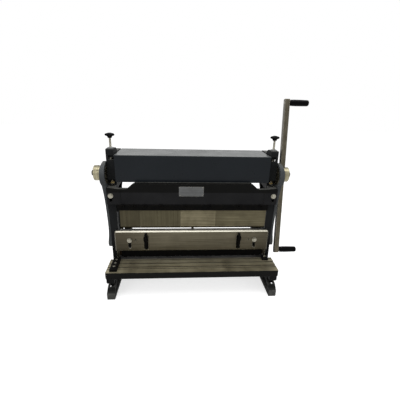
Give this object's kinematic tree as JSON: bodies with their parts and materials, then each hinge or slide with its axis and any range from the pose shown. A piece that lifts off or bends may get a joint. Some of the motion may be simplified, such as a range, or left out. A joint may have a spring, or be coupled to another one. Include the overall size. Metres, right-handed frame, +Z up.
{
  "type": "slip roll machine",
  "caption": "Bench sheet metal machine: slip rolls under a hinged cover, finger brake and shear between cast side frames, worked by a side lever through eccentric hubs.",
  "frame": {"origin": "on the bench, midway between the bench bolts and straight under the brake line", "axes": "+X along the rolls towards the lever, +Y away from the operator, +Z up"},
  "size_m": [1.0918, 0.394, 0.9725],
  "materials": {
    "frame_paint": "satin charcoal casting paint",
    "cover_paint": "smooth dark blue-grey paint",
    "ground_iron": "ground, lightly oiled",
    "plate_steel": "ground",
    "turned_steel": "turned",
    "finger_steel": "tempered brown",
    "tool_steel": "hardened and ground",
    "black_steel": "blackened",
    "zinc_screw": "zinc plated",
    "brass_screw": "turned brass",
    "bronze": "oiled bronze",
    "bar_steel": "bright drawn",
    "roll_steel": "ground",
    "black_knob": "moulded",
    "black_grip": "moulded",
    "plain_plate": "brushed, blank",
    "grey_pad": "light grey"
  },
  "bodies": {
    "frame": {"left_side_frame": "frame_paint", "right_side_frame": "frame_paint", "table": "ground_iron", "lower_blade": "tool_steel", "lower_blade_screws": "black_steel", "side_gauge": "black_steel", "gauge_screws": "zinc_screw", "rear_stop": "black_steel", "table_bolts": "zinc_screw", "hold_down_guides": "plate_steel", "gibs": "bronze", "crossbeam": "frame_paint", "frame_bolts": "zinc_screw", "beam_adjusting_screws": "brass_screw", "brake_finger_1": "finger_steel", "brake_finger_2": "finger_steel", "brake_finger_3": "finger_steel", "brake_finger_4": "finger_steel", "brake_finger_5": "finger_steel", "brake_finger_6": "finger_steel", "finger_clamp_bar": "black_steel", "clamp_bar_screws": "black_steel", "label_plate": "plain_plate", "rear_stretcher": "frame_paint", "shaft_bushes": "bronze", "screw_pads": "grey_pad", "cover_hinge_pins": "zinc_screw"},
    "main_shaft": {"drive_roll": "roll_steel", "drive_roll_gear": "tool_steel", "left_eccentric_hub": "turned_steel", "right_eccentric_hub": "turned_steel", "lever_bar": "bar_steel", "hub_clamp_bolts": "black_steel", "grip_spindles": "zinc_screw"},
    "upper_grip": {"upper_grip": "black_grip"},
    "lower_grip": {"lower_grip": "black_grip"},
    "left_arm": {"left_arm": "frame_paint"},
    "right_arm": {"right_arm": "frame_paint"},
    "ram": {"ram": "frame_paint", "vee_die": "tool_steel", "upper_blade": "tool_steel", "upper_blade_screws": "black_steel", "truss_screw": "zinc_screw", "hold_down_bolts": "zinc_screw", "spring_posts": "black_steel", "trunnion_pins": "turned_steel", "hold_down_springs": "black_steel"},
    "hold_down": {"hold_down_plate": "plate_steel", "hold_down_foot": "black_steel"},
    "upper_roll_carrier": {"upper_roll_blocks": "bronze"},
    "left_star_screw": {"left_pressure_screw": "zinc_screw", "left_star_knob": "black_knob"},
    "right_star_screw": {"right_pressure_screw": "zinc_screw", "right_star_knob": "black_knob"},
    "upper_roll": {"upper_roll": "roll_steel", "upper_roll_gear": "tool_steel"},
    "rear_roll_carrier": {"rear_roll_blocks": "bronze", "rear_roll_screws": "zinc_screw"},
    "rear_roll": {"rear_roll": "roll_steel"},
    "roll_cover": {"roll_cover": "cover_paint"}
  },
  "joints": [
    {"name": "lever_turn", "type": "hinge", "parent": "frame", "child": "main_shaft", "pos_m": [0, 0.056, 0.594], "axis": [1, 0, 0], "range_deg": [-45, 45]},
    {"name": "upper_grip_spin", "type": "hinge", "parent": "main_shaft", "child": "upper_grip", "pos_m": [0.53, 0.10652, 0.95347], "axis": [1, 0, 0], "continuous": true},
    {"name": "lower_grip_spin", "type": "hinge", "parent": "main_shaft", "child": "lower_grip", "pos_m": [0.53, -0.00245, 0.17809], "axis": [1, 0, 0], "continuous": true},
    {"name": "left_arm_pivot", "type": "hinge", "parent": "main_shaft", "child": "left_arm", "pos_m": [-0.44, 0.032, 0.594], "axis": [1, 0, 0], "range_deg": [-45, 45]},
    {"name": "right_arm_pivot", "type": "hinge", "parent": "main_shaft", "child": "right_arm", "pos_m": [0.44, 0.032, 0.594], "axis": [1, 0, 0], "range_deg": [-45, 45]},
    {"name": "ram_slide", "type": "slide", "parent": "frame", "child": "ram", "axis": [0, 0, 1], "range_m": [-0.017, 0.017]},
    {"name": "hold_down_slide", "type": "slide", "parent": "ram", "child": "hold_down", "axis": [0, 0, 1], "range_m": [-0.005, 0.005], "deforming": ["hold_down_springs"]},
    {"name": "upper_roll_lift", "type": "slide", "parent": "frame", "child": "upper_roll_carrier", "axis": [0, 0, 1], "range_m": [0, 0.01]},
    {"name": "left_star_turn", "type": "hinge", "parent": "upper_roll_carrier", "child": "left_star_screw", "pos_m": [-0.411, 0.056, 0.778], "axis": [0, 0, 1], "continuous": true},
    {"name": "right_star_turn", "type": "hinge", "parent": "upper_roll_carrier", "child": "right_star_screw", "pos_m": [0.411, 0.056, 0.778], "axis": [0, 0, 1], "continuous": true},
    {"name": "upper_roll_turn", "type": "hinge", "parent": "upper_roll_carrier", "child": "upper_roll", "pos_m": [0, 0.056, 0.636], "axis": [1, 0, 0], "range_deg": [-45, 45]},
    {"name": "rear_roll_lift", "type": "slide", "parent": "frame", "child": "rear_roll_carrier", "axis": [0, 0, 1], "range_m": [0, 0.016]},
    {"name": "rear_roll_turn", "type": "hinge", "parent": "rear_roll_carrier", "child": "rear_roll", "pos_m": [0, 0.107, 0.604], "axis": [1, 0, 0], "continuous": true},
    {"name": "cover_open", "type": "hinge", "parent": "frame", "child": "roll_cover", "pos_m": [0, 0.196, 0.682], "axis": [-1, 0, 0], "range_deg": [0, 95]}
  ],
  "couplings": [
    {"joint": "left_arm_pivot", "follows": "lever_turn", "ratio": -1},
    {"joint": "right_arm_pivot", "follows": "lever_turn", "ratio": -1},
    {"joint": "ram_slide", "follows": "lever_turn", "m_per_rad": -0.021608},
    {"joint": "hold_down_slide", "follows": "lever_turn", "m_per_rad": 0.0063289},
    {"joint": "upper_roll_turn", "follows": "lever_turn", "ratio": -1}
  ]
}
